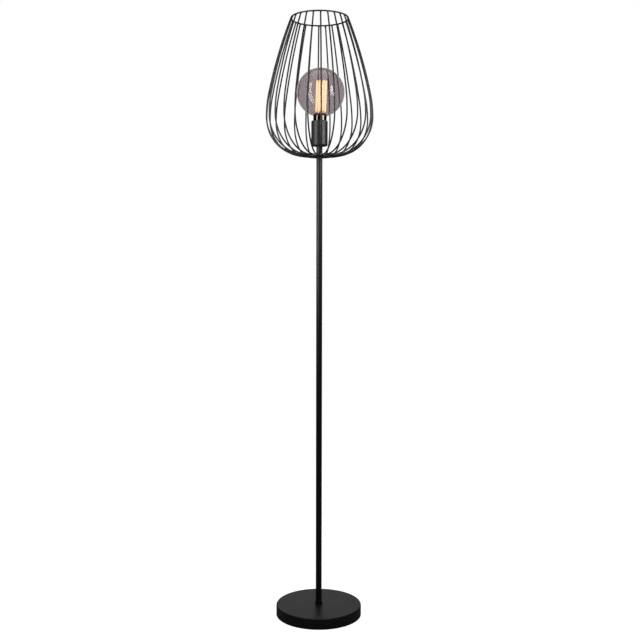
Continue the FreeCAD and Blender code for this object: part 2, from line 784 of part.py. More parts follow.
def glass_outline(holder, name, sphere, neck, bottom):
    """A globe with a neck: arc from the top to the neck's radius, neck wall, floor, axis."""
    sketch = sketch_on(holder, "XZ_Plane", name)
    radius = float(sphere)
    start = -math.acos(float(neck) / radius)
    arc = draw_arc(sketch, vector(0, 0, 0), sphere, start, math.pi / 2)
    drop = radius * math.sin(start)
    points = [vector(0, radius, 0), vector(0, bottom, 0), vector(neck, bottom, 0),
              vector(neck, drop, 0)]
    lines = []
    for first, second in zip(points, points[1:]):
        lines.append(sketch.addGeometry(Part.LineSegment(first, second), False))
    axis, floor, wall = lines
    pin(sketch, arc, 3, 0, 0)
    sketch.addConstraint(Sketcher.Constraint("Coincident", arc, 2, axis, 1))
    sketch.addConstraint(Sketcher.Constraint("PointOnObject", arc, 2, -2))
    sketch.addConstraint(Sketcher.Constraint("Coincident", axis, 2, floor, 1))
    sketch.addConstraint(Sketcher.Constraint("Coincident", floor, 2, wall, 1))
    sketch.addConstraint(Sketcher.Constraint("Coincident", wall, 2, arc, 1))
    sketch.addConstraint(Sketcher.Constraint("Vertical", wall))
    pin(sketch, axis, 2, 0, bottom)
    pin(sketch, floor, 2, neck, bottom)
    return sketch


def bulb_glass():
    holder = body("bulb_glass", globe_centre)
    bottom = glass_foot - globe_centre
    turn(holder, glass_outline(holder, "glass_outside", globe_radius, glass_neck_radius, bottom))
    inside = glass_outline(holder, "glass_inside", globe_radius - size.glass_wall,
                           glass_neck_bore, bottom)
    turn(holder, inside, "PartDesign::Groove")
    node(holder, "bulb_glass")


def bulb_stem():
    """Glass stem: flared foot sealed in the neck, then a slim rod up the middle."""
    flare = size.stem_flare_height
    shoulder = size.carrier_height + 2 * size.filament_radius
    node(turned("bulb_stem", [
        (0, 0),
        (glass_neck_bore, 0),
        (glass_neck_bore, size.glass_wall),
        (size.stem_base_radius, flare),
        (size.stem_base_radius, shoulder),
        (size.stem_rod_radius, shoulder + size.stem_base_radius),
        (size.stem_rod_radius, size.stem_height),
        (0, size.stem_height),
    ], glass_foot), "bulb_stem")


def filament_heights():
    lower = glass_foot + size.carrier_height
    start = lower + size.carrier_wire_radius
    upper = start + size.filament_length + size.carrier_wire_radius
    return lower, start, upper


def bulb_filaments():
    start = filament_heights()[1]
    count = int(size.filament_count.value)
    rods = []
    for number in range(count):
        turn_angle = 2 * math.pi * (number + 0.5) / count
        x = size.filament_circle.value * math.cos(turn_angle)
        y = size.filament_circle.value * math.sin(turn_angle)
        rods.append(Part.makeCylinder(size.filament_radius.value, size.filament_length.value,
                                      vector(x, y, start)))
    group("bulb_filaments", rods)


def filament_carriers():
    """Two wire wheels: a rim that the filaments stand on, and four spokes to the stem."""
    lower, _, upper = filament_heights()
    rim = size.filament_circle.value
    wire = size.carrier_wire_radius.value
    wheels = []
    for level, stem in ((lower, size.stem_base_radius), (upper, size.stem_rod_radius)):
        middle = vector(0, 0, level)
        wheel = Part.makeTorus(rim, wire, middle)
        for direction in (vector(1, 0, 0), vector(0, 1, 0)):
            wheel = wheel.fuse(Part.makeCylinder(wire, 2 * rim, middle - direction * rim, direction))
        core = Part.makeCylinder(stem.value, 4 * wire, vector(0, 0, level - 2 * wire))
        wheels.append(wheel.cut(core))
    group("filament_carriers", wheels)


def driver_board():
    underside = cap_bottom + size.cap_length - size.board_drop - size.board_thickness
    board = cylinder("board_disc", cap_inner_radius - size.board_play, size.board_thickness,
                     underside)
    can = cylinder("board_capacitor", size.capacitor_radius, size.capacitor_height,
                   underside - size.capacitor_height)
    node(fuse("driver_board", [board, can]), "driver_board")


# ---------------------------------------------------------------- wiring

def rounded_wire(points, bend):
    """Straight runs joined by tangent arcs of one radius."""
    edges = []
    start = points[0]
    for before, corner, after in zip(points, points[1:], points[2:]):
        inward = (before - corner).normalize()
        outward = (after - corner).normalize()
        half_turn = (math.pi - inward.getAngle(outward)) / 2
        reach = bend * math.tan(half_turn)
        enter = corner + inward * reach
        leave = corner + outward * reach
        bisector = (inward + outward).normalize()
        middle = corner + bisector * (bend / math.cos(half_turn) - bend)
        edges.append(Part.LineSegment(start, enter).toShape())
        edges.append(Part.Arc(enter, middle, leave).toShape())
        start = leave
    edges.append(Part.LineSegment(start, points[-1]).toShape())
    return Part.Wire(edges)


def core(points):
    """An insulated core along these points."""
    path = rounded_wire(points, size.core_bend.value)
    heading = points[1] - points[0]
    ring = Part.Wire([Part.makeCircle(size.core_radius.value, points[0], heading)])
    return path.makePipeShell([ring], True, False)


def block_core_height():
    return sheath_bottom - size.core_drop


def core_wires():
    cores = []
    low = block_core_height()
    screw_bottom = holder_joint - size.screw_head_height
    high = sheath_top + size.core_drop
    for side in (-1, 1):
        inside = side * size.core_spacing / 2
        way = side * size.block_spacing / 2
        post = side * size.holder_screw_offset
        entry = size.block_distance + size.core_entry
        cores.append(core([
            vector(inside, 0, sheath_bottom),
            vector(inside, 0, low),
            vector(way, size.block_distance / 2, low),
            vector(way, entry, low),
        ]))
        cores.append(core([
            vector(inside, 0, sheath_top),
            vector(inside, 0, high),
            vector(post, 0, high),
            vector(post, 0, screw_bottom),
        ]))
    group("core_wires", cores)


def internal_lead():
    node(cylinder("internal_lead", size.lead_diameter / 2, sheath_top - sheath_bottom,
                  sheath_bottom), "internal_lead")


def block_screw_places():
    """Middle of each screw of the terminal block: two ways, one screw for each side."""
    places = []
    for way in (-1, 1):
        for end in (-1, 1):
            x = way * size.block_spacing / 2
            y = size.block_distance + size.block_depth * (0.5 + end * 0.25)
            places.append((x, y))
    return places


def terminal_block():
    """Moulded block on the pad, with wire holes from front to back and screws from above."""
    blank = doc.addObject("Part::Box", "block_blank")
    bind(blank, Length=size.block_length, Width=size.block_depth, Height=size.block_height)
    bind(blank, Placement_Base_x=-(size.block_length / 2), Placement_Base_y=size.block_distance,
         Placement_Base_z=size.pad_thickness)
    holes = []
    for side in (-1, 1):
        hole = doc.addObject("Part::Cylinder", "block_way_%d" % len(holes))
        hole.Placement = FreeCAD.Placement(vector(0, 0, 0), FreeCAD.Rotation(vector(1, 0, 0), -90))
        bind(hole, Radius=size.block_hole_radius, Height=size.block_depth)
        bind(hole, Placement_Base_x=side * size.block_spacing / 2,
             Placement_Base_y=size.block_distance, Placement_Base_z=block_core_height())
        holes.append(hole)
    top = size.pad_thickness + size.block_height
    depth = top - block_core_height()
    for x, y in block_screw_places():
        hole = cylinder("block_hole_%d" % len(holes), tapped_screw_radius, depth,
                        block_core_height())
        bind(hole, Placement_Base_x=x, Placement_Base_y=y)
        holes.append(hole)
    node(cut("terminal_block", blank, holes), "terminal_block")


def terminal_screws():
    """Four sunk screws in the terminal block and two headed ones under the holder's floor."""
    radius = size.screw_radius.value
    bottom = block_core_height() + size.core_radius
    length = size.pad_thickness + size.block_height - bottom
    screws = []
    for x, y in block_screw_places():
        screws.append(Part.makeCylinder(radius, float(length), vector(x, y, bottom)))
    for side in (-1, 1):
        x = side * size.holder_screw_offset
        shank = Part.makeCylinder(radius, float(size.holder_wall), vector(x, 0, holder_joint))
        head = Part.makeCylinder(float(size.screw_head_radius), float(size.screw_head_height),
                                 vector(x, 0, holder_joint - size.screw_head_height))
        screws.append(shank.fuse(head))
    group("terminal_screws", screws)


# ---------------------------------------------------------------- the whole lamp

def build():
    foot_pad()
    cover = base_cover()
    cord_grommet(cover)
    base_weight()
    base_fixings()
    foot_collar()
    for number, label in enumerate(pole_sections):
        pole_section(label, number)
    pole_joints()
    hub_plate()
    for number in range(int(size.rib_count.value)):
        rib(number)
    top_ring()
    neck()
    socket_cover()
    holder_cap()
    holder_body()
    screw_shell()
    centre_contact()
    bulb_cap()
    cap_insulator()
    bulb_end_contact()
    bulb_collar()
    bulb_glass()
    bulb_stem()
    bulb_filaments()
    filament_carriers()
    driver_board()
    internal_lead()
    core_wires()
    terminal_block()
    terminal_screws()
    doc.recompute()


def check():
    for thing in doc.Objects:
        bad = {"Invalid", "Error"} & set(thing.State)
        if bad:
            raise RuntimeError("%s is %s" % (thing.Label, ", ".join(bad)))
    for thing in nodes:
        if thing.Shape.isNull() or not thing.Shape.isValid() or thing.Shape.Volume <= 0:
            raise RuntimeError("%s has no sound solid" % thing.Label)


def export():
    os.makedirs("parts", exist_ok=True)
    for thing in nodes:
        thing.Shape.exportStep(os.path.join("parts", thing.Label + ".step"))
        print("%-20s %2d solid(s) %12.1f mm3" % (thing.Label, len(thing.Shape.Solids),
                                                thing.Shape.Volume))


build()
check()
export()
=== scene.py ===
import math
import bmesh
import bpy
import numpy as np
from mathutils import Matrix, Vector


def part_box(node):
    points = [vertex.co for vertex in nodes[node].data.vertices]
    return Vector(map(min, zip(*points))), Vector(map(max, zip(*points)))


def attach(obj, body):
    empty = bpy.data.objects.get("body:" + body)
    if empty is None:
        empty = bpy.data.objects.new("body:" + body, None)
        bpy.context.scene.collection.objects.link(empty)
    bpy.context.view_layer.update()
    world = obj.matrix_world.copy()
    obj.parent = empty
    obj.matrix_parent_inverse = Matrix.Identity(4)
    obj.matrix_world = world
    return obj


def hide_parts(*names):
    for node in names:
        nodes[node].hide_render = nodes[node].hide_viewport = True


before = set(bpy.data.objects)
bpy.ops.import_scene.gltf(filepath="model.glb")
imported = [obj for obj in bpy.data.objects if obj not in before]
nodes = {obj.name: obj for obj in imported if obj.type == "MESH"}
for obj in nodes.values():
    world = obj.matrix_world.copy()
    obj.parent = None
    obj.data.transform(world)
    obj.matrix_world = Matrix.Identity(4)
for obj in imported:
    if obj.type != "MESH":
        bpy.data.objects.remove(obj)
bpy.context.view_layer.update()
print("frame loaded,", len(nodes), "nodes")

# Wire cage floor lamp. Metres, +Z up, the viewer looks along +Y.


# mesh helpers

def gridFaces(rows, columns, closeRows=False, closeColumns=False):
    # quads (i, j), (i, j+1), (i+1, j+1), (i+1, j) of a grid of points, wrapped where asked
    i, j = np.meshgrid(np.arange(rows if closeRows else rows - 1),
                       np.arange(columns if closeColumns else columns - 1), indexing="ij")
    nextRow = (i + 1) % rows
    nextColumn = (j + 1) % columns
    quads = [i * columns + j, i * columns + nextColumn,
             nextRow * columns + nextColumn, nextRow * columns + j]
    return np.stack(quads, axis=-1).reshape(-1, 4)


def unit(vector):
    return vector / np.linalg.norm(vector, axis=-1, keepdims=True)


def roundedOutline(corners, steps=7):
    # corners are (r, z, bend); a bend is the arc tangent to both runs, whose centre is
    # corner + bisector * bend / sin(half angle), with one more point on each run beside it
    spots = np.array([corner[:2] for corner in corners])
    outline = []
    for index, (r, z, bend) in enumerate(corners):
        corner = spots[index]
        if bend == 0:
            outline.append(corner[None])
            continue
        before = unit(spots[index - 1] - corner)
        after = unit(spots[(index + 1) % len(corners)] - corner)
        half = math.acos(np.clip(before @ after, -1, 1)) / 2
        reach = bend / math.tan(half)
        centre = corner + unit(before + after) * bend / math.sin(half)
        start = corner + before * reach - centre
        end = corner + after * reach - centre
        first = math.atan2(start[1], start[0])
        sweep = (math.atan2(end[1], end[0]) - first + math.pi) % (2 * math.pi) - math.pi
        angle = first + sweep * np.linspace(0, 1, steps)
        arc = centre + bend * np.stack([np.cos(angle), np.sin(angle)], axis=-1)
        guard = bend * 0.35  # keeps the shading of the flats flat
        outline += [(corner + before * (reach + guard))[None], arc,
                    (corner + after * (reach + guard))[None]]
    return np.concatenate(outline)


def lathe(outline, turns=96):
    # a closed profile (r, z) carried round the axis: x = r cos t, y = r sin t
    angle = np.arange(turns) * 2 * math.pi / turns
    r = outline[:, :1]
    z = np.broadcast_to(outline[:, 1:], (len(outline), turns))
    points = np.stack([r * np.cos(angle), r * np.sin(angle), z], axis=-1)
    return points.reshape(-1, 3), gridFaces(len(outline), turns, True, True)


def tube(path, radii, side, turns=12):
    # circles of the given radii along a path that lies in a plane; side is that plane's normal:
    # point = path + radius * (side cos t + (tangent x side) sin t)
    along = unit(np.gradient(path, axis=0))
    other = np.cross(along, side)
    angle = np.arange(turns) * 2 * math.pi / turns
    circle = (side * np.cos(angle)[:, None])[None] + other[:, None] * np.sin(angle)[:, None]
    points = path[:, None] + np.asarray(radii)[:, None, None] * circle
    return points.reshape(-1, 3), gridFaces(len(path), turns, False, True)


def joined(parts):
    # several (points, faces) as one
    points, faces, count = [], [], 0
    for partPoints, partFaces in parts:
        points.append(partPoints)
        faces.append(partFaces + count)
        count += len(partPoints)
    return np.concatenate(points), np.concatenate(faces)


def turned(points, angle):
    # points turned about the z axis
    c, s = math.cos(angle), math.sin(angle)
    return points @ np.array([[c, s, 0], [-s, c, 0], [0, 0, 1]])


def leaned(points, degrees, pivot):
    # tipped about Y at the height pivot, top towards +X: with h the height above the pivot,
    # x becomes x cos + h sin and h becomes h cos - x sin
    c, s = math.cos(math.radians(degrees)), math.sin(math.radians(degrees))
    centre = np.array([0, 0, pivot])
    return (points - centre) @ np.array([[c, 0, -s], [0, 1, 0], [s, 0, c]]) + centre


def addPiece(name, shape, look, body, replaced=()):
    points, faces = shape
    mesh = bpy.data.meshes.new(name)
    mesh.from_pydata(points.tolist(), [], faces.tolist())
    sewn = bmesh.new()
    sewn.from_mesh(mesh)
    bmesh.ops.remove_doubles(sewn, verts=sewn.verts, dist=1e-7)  # closes seams and poles
    loose = [edge for edge in sewn.edges if not edge.link_faces]  # left where both ends meet the axis
    bmesh.ops.delete(sewn, geom=loose, context="EDGES")
    bmesh.ops.recalc_face_normals(sewn, faces=sewn.faces)
    if sewn.calc_volume(signed=True) < 0:
        bmesh.ops.reverse_faces(sewn, faces=sewn.faces)
    sewn.to_mesh(mesh)
    sewn.free()
    mesh.shade_smooth()
    mesh.materials.append(look)
    piece = bpy.data.objects.new(name, mesh)
    bpy.context.scene.collection.objects.link(piece)
    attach(piece, body)
    if replaced:
        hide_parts(*replaced)
    print("made", name, "with", len(mesh.polygons), "faces")
    return piece


# shader helpers and shared effects

def addNode(tree, kind, inputs=None, **settings):
    made = tree.nodes.new(kind)
    for name, value in settings.items():
        setattr(made, name, value)
    for name, value in (inputs or {}).items():
        if isinstance(value, bpy.types.NodeSocket):
            tree.links.new(value, made.inputs[name])
        else:
            made.inputs[name].default_value = value
    return made


def maths(tree, operation, *values):
    made = addNode(tree, "ShaderNodeMath", dict(enumerate(values)), operation=operation)
    return made.outputs[0]


def mixColours(tree, factor, first, second):
    made = addNode(tree, "ShaderNodeMix", {0: factor, 6: first, 7: second}, data_type="RGBA")
    return made.outputs[2]


def newGroup(name, inputs, outputs):
    group = bpy.data.node_groups.new(name, "ShaderNodeTree")
    for direction, sockets in (("INPUT", inputs), ("OUTPUT", outputs)):
        for label, kind in sockets.items():
            group.interface.new_socket(name=label, in_out=direction,
                                       socket_type="NodeSocket" + kind)
    return group, group.nodes.new("NodeGroupInput").outputs, group.nodes.new("NodeGroupOutput")


def makeFinish():
    # two noises: a fine one for the height, a broad one that shifts colour and roughness
    group, given, out = newGroup(
        "finish",
        {"Place": "Vector", "Colour": "Color", "Second Colour": "Color", "Blotch Size": "Float",
         "Blotches": "Float", "Roughness": "Float", "Roughness Spread": "Float",
         "Grain Size": "Float"},
        {"Colour": "Color", "Roughness": "Float", "Height": "Float"})
    blotch = addNode(group, "ShaderNodeTexNoise", {
        "Vector": given["Place"], "Scale": maths(group, "DIVIDE", 1.0, given["Blotch Size"]),
        "Detail": 4.0, "Roughness": 0.6}).outputs[0]
    grain = addNode(group, "ShaderNodeTexNoise", {
        "Vector": given["Place"], "Scale": maths(group, "DIVIDE", 1.0, given["Grain Size"]),
        "Detail": 2.0, "Roughness": 0.5}).outputs[0]
    mask = addNode(group, "ShaderNodeMapRange", {
        "Value": blotch, "From Min": 0.35, "From Max": 0.65}).outputs[0]
    amount = maths(group, "MULTIPLY", mask, given["Blotches"])
    shift = maths(group, "SUBTRACT", blotch, 0.5)
    rough = maths(group, "MULTIPLY_ADD", shift, given["Roughness Spread"], given["Roughness"])
    group.links.new(mixColours(group, amount, given["Colour"], given["Second Colour"]),
                    out.inputs["Colour"])
    group.links.new(rough, out.inputs["Roughness"])
    group.links.new(grain, out.inputs["Height"])
    return group


def makeTurning():
    # lines that a lathe leaves: noise of (distance from the axis, height) / line width
    group, given, out = newGroup("turning", {"Place": "Vector", "Line Width": "Float"},
                                 {"Height": "Float"})
    place = addNode(group, "ShaderNodeSeparateXYZ", {0: given["Place"]}).outputs
    flat = addNode(group, "ShaderNodeCombineXYZ", {0: place[0], 1: place[1]}).outputs[0]
    radius = addNode(group, "ShaderNodeVectorMath", {0: flat}, operation="LENGTH").outputs[1]
    lines = addNode(group, "ShaderNodeCombineXYZ", {
        0: maths(group, "DIVIDE", radius, given["Line Width"]),
        1: maths(group, "DIVIDE", place[2], given["Line Width"]),
        2: maths(group, "MULTIPLY", place[0], 40.0)}).outputs[0]
    noise = addNode(group, "ShaderNodeTexNoise", {"Vector": lines, "Scale": 1.0, "Detail": 2.0})
    group.links.new(noise.outputs[0], out.inputs["Height"])
    return group


def makeCells():
    # closed-cell foam: distance to the nearest of scattered points
    group, given, out = newGroup("cells", {"Place": "Vector", "Cell Size": "Float"},
                                 {"Height": "Float"})
    cells = addNode(group, "ShaderNodeTexVoronoi", {
        "Vector": given["Place"], "Scale": maths(group, "DIVIDE", 1.0, given["Cell Size"])})
    group.links.new(cells.outputs["Distance"], out.inputs["Height"])
    return group


finishGroup = makeFinish()
turningGroup = makeTurning()
cellsGroup = makeCells()


def newLook(name):
    look = bpy.data.materials.new(name)
    look.use_nodes = True
    tree = look.node_tree
    tree.nodes.clear()
    shader = addNode(tree, "ShaderNodeBsdfPrincipled")
    out = addNode(tree, "ShaderNodeOutputMaterial", {"Surface": shader.outputs[0]})
    place = addNode(tree, "ShaderNodeTexCoord").outputs["Object"]
    return look, tree, shader, out, place


def solidLook(name, colour, second, rough, grain, bump, blotch=0.03, blotches=0.5, spread=0.08,
              lines=None, cells=None, **sockets):
    # colour and roughness from the finish group; height from its grain, turned lines or cells
    look, tree, shader, out, place = newLook(name)
    finish = addNode(tree, "ShaderNodeGroup", {}, node_tree=finishGroup)
    for label, value in {"Colour": (*colour, 1), "Second Colour": (*second, 1),
                         "Blotch Size": blotch, "Blotches": blotches, "Roughness": rough,
                         "Roughness Spread": spread, "Grain Size": grain}.items():
        finish.inputs[label].default_value = value
    tree.links.new(place, finish.inputs["Place"])
    height = finish.outputs["Height"]
    if lines:
        ring = addNode(tree, "ShaderNodeGroup", {}, node_tree=turningGroup)
        ring.inputs["Line Width"].default_value = lines
        tree.links.new(place, ring.inputs["Place"])
        height = maths(tree, "MULTIPLY_ADD", ring.outputs["Height"], 1.5, height)
    if cells:
        foam = addNode(tree, "ShaderNodeGroup", {}, node_tree=cellsGroup)
        foam.inputs["Cell Size"].default_value = cells
        tree.links.new(place, foam.inputs["Place"])
        height = maths(tree, "MULTIPLY_ADD", foam.outputs["Height"], 2.0, height)
    relief = addNode(tree, "ShaderNodeBump", {"Height": height, "Distance": bump})
    tree.links.new(finish.outputs["Colour"], shader.inputs["Base Color"])
    tree.links.new(finish.outputs["Roughness"], shader.inputs["Roughness"])
    tree.links.new(relief.outputs[0], shader.inputs["Normal"])
    for label, value in sockets.items():
        shader.inputs[label.replace("_", " ")].default_value = value
    return look


def glassLook(name, tint, shade, waves, depth):
    # clear to shadow rays through a tinted Transparent, slightly wavy as blown glass is
    look, tree, shader, out, place = newLook(name)
    for label, value in {"Base Color": (*tint, 1), "Roughness": 0.0, "IOR": 1.47,
                         "Transmission Weight": 1.0}.items():
        shader.inputs[label].default_value = value
    noise = addNode(tree, "ShaderNodeTexNoise", {
        "Vector": place, "Scale": 1 / waves, "Detail": 1.0}).outputs[0]
    relief = addNode(tree, "ShaderNodeBump", {"Height": noise, "Distance": depth})
    tree.links.new(relief.outputs[0], shader.inputs["Normal"])
    clear = addNode(tree, "ShaderNodeBsdfTransparent", {"Color": (*shade, 1)})
    path = addNode(tree, "ShaderNodeLightPath")
    both = addNode(tree, "ShaderNodeMixShader", {
        0: path.outputs["Is Shadow Ray"], 1: shader.outputs[0], 2: clear.outputs[0]})
    tree.links.new(both.outputs[0], out.inputs["Surface"])
    return look


def dress(look, *names):
    for name in names:
        for slot in nodes[name].material_slots:
            slot.material = look


# camera

cameraSet = {
    "distance": 2.4194,  # from the lamp's axis
    "height": 0.93305,  # above the floor
    "side": -1.8,  # degrees round the lamp, to the left of its front
    "heading": 1.853,  # degrees from +Y towards +X
    "pitch": 3.375,  # degrees down
    "roll": 0.1,  # degrees
    "lens": 51.69,  # millimetres
}


def makeCamera(made):
    side = math.radians(made["side"])
    heading = math.radians(made["heading"])
    pitch = math.radians(made["pitch"])
    roll = math.radians(made["roll"])
    forward = Vector((math.sin(heading) * math.cos(pitch), math.cos(heading) * math.cos(pitch),
                      -math.sin(pitch)))
    level = Vector((math.cos(heading), -math.sin(heading), 0))
    top = level.cross(forward)
    right = level * math.cos(roll) + top * math.sin(roll)
    up = top * math.cos(roll) - level * math.sin(roll)
    camera = bpy.data.objects.new("camera", bpy.data.cameras.new("camera"))
    bpy.context.scene.collection.objects.link(camera)
    camera.data.lens = made["lens"]
    camera.data.sensor_width = 36.0
    camera.matrix_world = Matrix.Translation((
        made["distance"] * math.sin(side), -made["distance"] * math.cos(side), made["height"]
    )) @ Matrix((right, up, -forward)).transposed().to_4x4()
    bpy.context.scene.camera = camera


makeCamera(cameraSet)
bpy.context.scene.view_settings.view_transform = "Standard"
print("camera placed")


# studio: white room to the eye, darker room in reflections

lightSet = {  # near the lamp, so that they fade down the pole
    "left_window": {"angles": (-62.5, -42.5), "distance": 0.4, "low": 0.88, "high": 1.648,
                    "radiance": 8.0},
    "right_window": {"angles": (44.7, 55.3), "distance": 0.5, "low": 1.23, "high": 1.578,
                     "radiance": 14.0},
    "right_side_pane": {"angles": (59.0, 66.9), "distance": 0.5, "low": 1.23, "high": 1.578,
                        "radiance": 14.0},
}
topSet = {"forward": 0.2, "height": 2.9, "size": 1.6, "radiance": 1.3}
roomSet = {"walls": 0.02, "backdrop": 0.48, "backdropFrom": 0.72, "backdropTo": 0.98,
           "ceiling": 0.06}
floorSet = {"drop": 0.0002, "reach": 30.0, "glow": 0.985, "seen": 0.5, "felt": 0.32}


def addLight(name, place, target, width, height, radiance):
    light = bpy.data.lights.new(name, "AREA")
    light.shape = "RECTANGLE"
    light.size = width
    light.size_y = height
    light.energy = radiance * math.pi * width * height
    holder = bpy.data.objects.new(name, light)
    bpy.context.scene.collection.objects.link(holder)
    holder.location = place
    holder.rotation_euler = (Vector(target) - Vector(place)).to_track_quat("-Z", "Y").to_euler()
    holder.visible_camera = False
    holder.visible_transmission = False


def makeLights():
    for name, made in lightSet.items():
        first, last = made["angles"]  # degrees round the lamp from its front to the right
        angle = math.radians((first + last) / 2)
        middle = (made["low"] + made["high"]) / 2
        place = (made["distance"] * math.sin(angle), -made["distance"] * math.cos(angle), middle)
        width = 2 * made["distance"] * math.tan(math.radians(last - first) / 2)
        addLight(name, place, (0, 0, middle), width, made["high"] - made["low"],
                 made["radiance"])
    addLight("top_window", (0, -topSet["forward"], topSet["height"]), (0, 0, 0), topSet["size"],
             topSet["size"], topSet["radiance"])


def seenDirectly(tree):
    # 1 for what the eye sees, straight or through glass
    path = addNode(tree, "ShaderNodeLightPath").outputs
    return maths(tree, "MAXIMUM", path["Is Camera Ray"], path["Is Transmission Ray"])


def makeRoom():
    # brightness = walls + backdrop * (how far the direction points back) + ceiling * (how far up)
    room = bpy.data.worlds.new("room")
    bpy.context.scene.world = room
    room.use_nodes = True
    tree = room.node_tree
    tree.nodes.clear()
    direction = addNode(tree, "ShaderNodeSeparateXYZ", {
        0: addNode(tree, "ShaderNodeTexCoord").outputs["Generated"]}).outputs
    back = addNode(tree, "ShaderNodeMapRange", {
        "Value": direction[1], "From Min": roomSet["backdropFrom"],
        "From Max": roomSet["backdropTo"]},
        interpolation_type="SMOOTHSTEP").outputs[0]
    above = addNode(tree, "ShaderNodeMapRange", {
        "Value": direction[2], "From Min": 0.0, "From Max": 1.0}).outputs[0]
    glow = maths(tree, "MULTIPLY_ADD", back, roomSet["backdrop"], roomSet["walls"])
    glow = maths(tree, "MULTIPLY_ADD", above, roomSet["ceiling"], glow)
    shown = addNode(tree, "ShaderNodeMix", {0: seenDirectly(tree), 2: glow, 3: 1.0}).outputs[0]
    surface = addNode(tree, "ShaderNodeBackground", {"Strength": shown})
    surface.inputs["Color"].default_value = (1, 1, 1, 1)
    addNode(tree, "ShaderNodeOutputWorld", {"Surface": surface.outputs[0]})


def makeFloor():
    reach = floorSet["reach"]
    mesh = bpy.data.meshes.new("floor")
    mesh.from_pydata([(-reach, -reach, -floorSet["drop"]), (reach, -reach, -floorSet["drop"]),
                      (reach, reach, -floorSet["drop"]), (-reach, reach, -floorSet["drop"])],
                     [], [(0, 1, 2, 3)])
    look = bpy.data.materials.new("floor")
    look.use_nodes = True
    tree = look.node_tree
    tree.nodes.clear()
    seen = seenDirectly(tree)
    bright = addNode(tree, "ShaderNodeMix", {
        0: seen, 2: floorSet["felt"], 3: floorSet["seen"]}).outputs[0]
    matte = addNode(tree, "ShaderNodeBsdfDiffuse", {"Color": bright})
    glow = addNode(tree, "ShaderNodeEmission", {
        "Strength": maths(tree, "MULTIPLY", seen, floorSet["glow"])})
    both = addNode(tree, "ShaderNodeAddShader", {0: matte.outputs[0], 1: glow.outputs[0]})
    addNode(tree, "ShaderNodeOutputMaterial", {"Surface": both.outputs[0]})
    mesh.materials.append(look)
    floor = bpy.data.objects.new("floor", mesh)
    bpy.context.scene.collection.objects.link(floor)


makeLights()
makeRoom()
makeFloor()
print("studio lit")


# looks

powderCoat = solidLook("powder_coat", (0.0135, 0.0128, 0.0122), (0.0185, 0.0175, 0.0165),
                       rough=0.44, grain=0.00055, bump=0.000022, blotch=0.045, spread=0.10)
foam = solidLook("foam", (0.022, 0.022, 0.022), (0.035, 0.034, 0.033), rough=0.9, grain=0.0004,
                 bump=0.00015, cells=0.0009)
rubber = solidLook("rubber", (0.016, 0.016, 0.016), (0.028, 0.027, 0.026), rough=0.62,
                   grain=0.0003, bump=0.00002)
castIron = solidLook("cast_iron", (0.105, 0.1, 0.095), (0.15, 0.12, 0.095), rough=0.66,
                     grain=0.0012, bump=0.0002, blotch=0.02, spread=0.2, Metallic=1.0)
zinc = solidLook("zinc", (0.55, 0.56, 0.58), (0.66, 0.64, 0.58), rough=0.34, grain=0.0004,
                 bump=0.00001, blotch=0.004, lines=0.0003, Metallic=1.0)
blackMoulding = solidLook("black_moulding", (0.021, 0.02, 0.019), (0.034, 0.032, 0.03), rough=0.4,
                          grain=0.0005, bump=0.00001)
brass = solidLook("brass", (0.72, 0.53, 0.25), (0.6, 0.42, 0.2), rough=0.28, grain=0.0005,
                  bump=0.00001, blotch=0.005, lines=0.00025, Metallic=1.0)
sheath = solidLook("sheath", (0.024, 0.024, 0.024), (0.034, 0.033, 0.032), rough=0.5,
                   grain=0.0006, bump=0.00002)
blockPlastic = solidLook("block_plastic", (0.8, 0.78, 0.72), (0.72, 0.69, 0.6), rough=0.48,
                         grain=0.0005, bump=0.00001, Subsurface_Weight=0.1,
                         Subsurface_Radius=(0.002, 0.0015, 0.001))
capMetal = solidLook("cap_metal", (0.74, 0.73, 0.7), (0.62, 0.61, 0.58), rough=0.26,
                     grain=0.0004, bump=0.000008, blotch=0.004, lines=0.0004, Metallic=1.0)
blackGlass = solidLook("black_glass", (0.012, 0.012, 0.014), (0.02, 0.02, 0.022), rough=0.12,
                       grain=0.002, bump=0.00002)
collarMetal = solidLook("collar_metal", (0.085, 0.079, 0.077), (0.07, 0.064, 0.062), rough=0.1,
                        grain=0.0003, bump=0.000002, blotch=0.01, spread=0.04, lines=0.00025,
                        Metallic=1.0)
wireMetal = solidLook("wire_metal", (0.62, 0.58, 0.53), (0.5, 0.45, 0.4), rough=0.3,
                      grain=0.0003, bump=0.000005, blotch=0.006, Metallic=1.0)
board = solidLook("board", (0.04, 0.17, 0.075), (0.06, 0.22, 0.1), rough=0.32, grain=0.0005,
                  bump=0.00001, blotch=0.002, Coat_Weight=0.4)
smokedGlass = glassLook("smoked_glass", (0.536, 0.486, 0.496), (0.73, 0.7, 0.705), waves=0.045,
                        depth=0.00001)
stemGlass = glassLook("stem_glass", (0.93, 0.93, 0.92), (0.96, 0.96, 0.96), waves=0.008,
                      depth=0.0001)


def makeCoreLook():
    # two insulated cores: brown on one side of the lamp's middle plane, blue on the other
    look = solidLook("core_insulation", (0.16, 0.055, 0.02), (0.2, 0.08, 0.03), rough=0.42,
                     grain=0.0005, bump=0.00001)
    tree = look.node_tree
    shader = next(item for item in tree.nodes if item.type == "BSDF_PRINCIPLED")
    brown = shader.inputs["Base Color"].links[0].from_socket
    place = addNode(tree, "ShaderNodeTexCoord").outputs["Object"]
    across = addNode(tree, "ShaderNodeSeparateXYZ", {0: place}).outputs[0]
    side = maths(tree, "GREATER_THAN", across, 0.0)
    tree.links.new(mixColours(tree, side, brown, (0.02, 0.09, 0.33, 1)),
                   shader.inputs["Base Color"])
    return look


filamentSet = {"warm": (1.66, 1.26, 0.83), "red": (1.0, 0.36, 0.12), "fade": 0.006}


